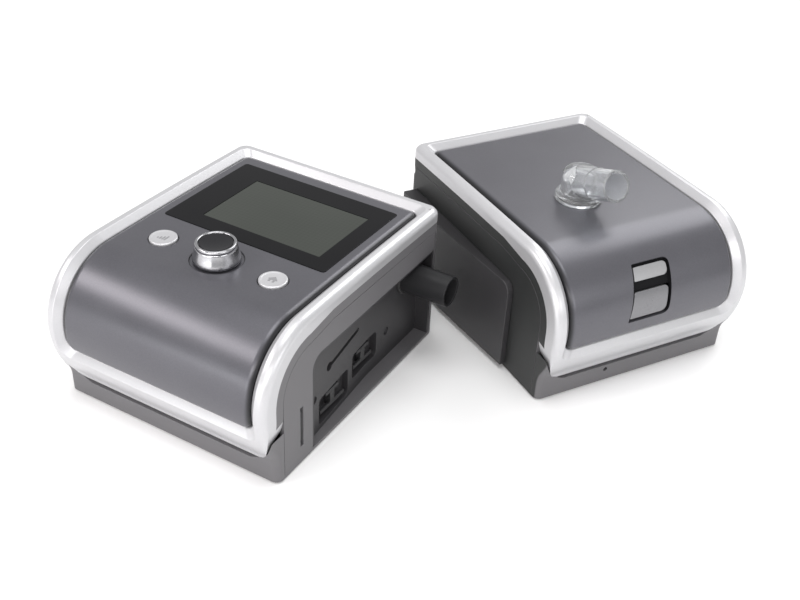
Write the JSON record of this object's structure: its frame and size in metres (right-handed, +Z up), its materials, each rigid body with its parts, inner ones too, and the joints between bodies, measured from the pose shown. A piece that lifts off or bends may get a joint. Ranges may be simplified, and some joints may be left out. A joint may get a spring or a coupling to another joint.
{
  "type": "cpap machine",
  "caption": "Bedside positive airway pressure machine: flow generator with screen, press-and-turn knob and round buttons, beside its undocked heated humidifier with hinged lid and swivel elbow",
  "frame": {"origin": "centre of the whole set's footprint on the table, at the feet's underside", "axes": "+Z up from the table, -Y is the flow generator's front (its nose), +X its right, where the humidifier stands"},
  "size_m": [0.364, 0.411, 0.1428],
  "materials": {
    "silver_trim": "satin silver paint",
    "fascia_grey": "dark grey metallic paint",
    "case_grey": "fine grained dark grey",
    "dock_charcoal": "fine grained charcoal",
    "clear_plastic": "clear moulded plastic",
    "knob_chrome": "chrome-plated plastic",
    "knob_dark": "polished black",
    "button_silver": "satin silver paint",
    "lens_black": "polished black",
    "display_glass": "unlit display",
    "board_green": "solder mask",
    "inner_black": "moulded black",
    "white_plastic": "moulded off-white",
    "rubber_dark": "soft rubber",
    "foam_grey": "open-cell foam",
    "filter_white": "non-woven filter",
    "steel": "brushed",
    "aluminium": "satin"
  },
  "bodies": {
    "device": {"device_base": "case_grey", "device_frame": "silver_trim", "device_fascia": "fascia_grey", "right_side_cover": "case_grey", "left_side_cover": "case_grey", "dock_panel": "dock_charcoal", "dock_catches": "inner_black", "air_outlet": "dock_charcoal", "outlet_seal": "rubber_dark", "outlet_hose": "rubber_dark", "blower_housing": "inner_black", "blower_mount": "rubber_dark", "blower_motor": "steel", "silencer_box": "inner_black", "silencer_foam": "foam_grey", "filter_frame": "inner_black", "filter_pad": "filter_white", "main_board": "board_green", "board_parts": "inner_black", "card_socket": "steel", "power_inlet": "inner_black", "screen_lens": "lens_black", "display_panel": "display_glass", "control_board": "board_green", "tact_switches": "inner_black", "encoder": "steel", "device_feet": "rubber_dark", "device_screws": "steel"},
    "humidifier": {"humidifier_base": "case_grey", "dock_block": "dock_charcoal", "inlet_socket": "dock_charcoal", "inlet_duct": "inner_black", "heater_seat": "inner_black", "heater_plate": "aluminium", "tub_plate": "steel", "water_tub": "clear_plastic", "tub_gasket": "rubber_dark", "tub_lid": "clear_plastic", "hinge_pin": "steel", "humidifier_feet": "rubber_dark", "humidifier_screws": "steel"},
    "stem": {"encoder_plunger": "steel"},
    "knob": {"knob_shaft": "steel", "knob": "knob_chrome", "knob_cap": "knob_dark"},
    "ramp": {"ramp_button": "button_silver"},
    "home": {"home_button": "button_silver"},
    "wheel": {"impeller": "white_plastic", "impeller_spindle": "steel"},
    "filter_cover": {"filter_door": "case_grey"},
    "card": {"memory_card": "inner_black"},
    "lid": {"lid_frame": "silver_trim", "lid_fascia": "fascia_grey", "lid_liner": "inner_black", "lid_hinge": "inner_black", "outlet_ring_seal": "rubber_dark", "latch_housing": "inner_black", "latch_plate": "silver_trim"},
    "latch": {"latch_button": "silver_trim"},
    "elbow": {"outlet_elbow": "clear_plastic"}
  },
  "joints": [
    {"name": "knob_press", "type": "slide", "parent": "device", "child": "stem", "axis": [0, 0, -1], "range_m": [0, 0.0006], "stiffness_N_per_m": 900, "springref_m": -0.0015},
    {"name": "knob_turn", "type": "hinge", "parent": "stem", "child": "knob", "pos_m": [-0.09703, -0.13647, 0.10416], "axis": [0, 0, 1], "continuous": true},
    {"name": "ramp_press", "type": "slide", "parent": "device", "child": "ramp", "axis": [0, 0, -1], "range_m": [0, 0.0008], "stiffness_N_per_m": 600, "springref_m": -0.0015},
    {"name": "home_press", "type": "slide", "parent": "device", "child": "home", "axis": [0, 0, -1], "range_m": [0, 0.0008], "stiffness_N_per_m": 600, "springref_m": -0.0015},
    {"name": "impeller_spin", "type": "hinge", "parent": "device", "child": "wheel", "pos_m": [-0.09303, -0.04786, 0.0588], "axis": [0, 0, 1], "continuous": true},
    {"name": "filter_cover_pull", "type": "slide", "parent": "device", "child": "filter_cover", "axis": [-1, 0, 0], "range_m": [0, 0.015]},
    {"name": "card_pull", "type": "slide", "parent": "device", "child": "card", "axis": [1, 0, 0], "range_m": [0, 0.02]},
    {"name": "humidifier_undock", "type": "slide", "parent": "device", "child": "humidifier", "axis": [0.5373, 0.8434, 0], "range_m": [0, 0.06]},
    {"name": "lid_hinge", "type": "hinge", "parent": "humidifier", "child": "lid", "pos_m": [-0.03222, 0.13939, 0.08499], "axis": [-0.5373, -0.8434, 0], "range_deg": [0, 75]},
    {"name": "latch_press", "type": "slide", "parent": "lid", "child": "latch", "axis": [-0.8147, 0.519, -0.2588], "range_m": [0, 0.002], "stiffness_N_per_m": 1000, "springref_m": -0.002},
    {"name": "elbow_swivel", "type": "hinge", "parent": "lid", "child": "elbow", "pos_m": [0.06024, 0.06863, 0.10405], "axis": [0, 0, 1], "continuous": true}
  ]
}
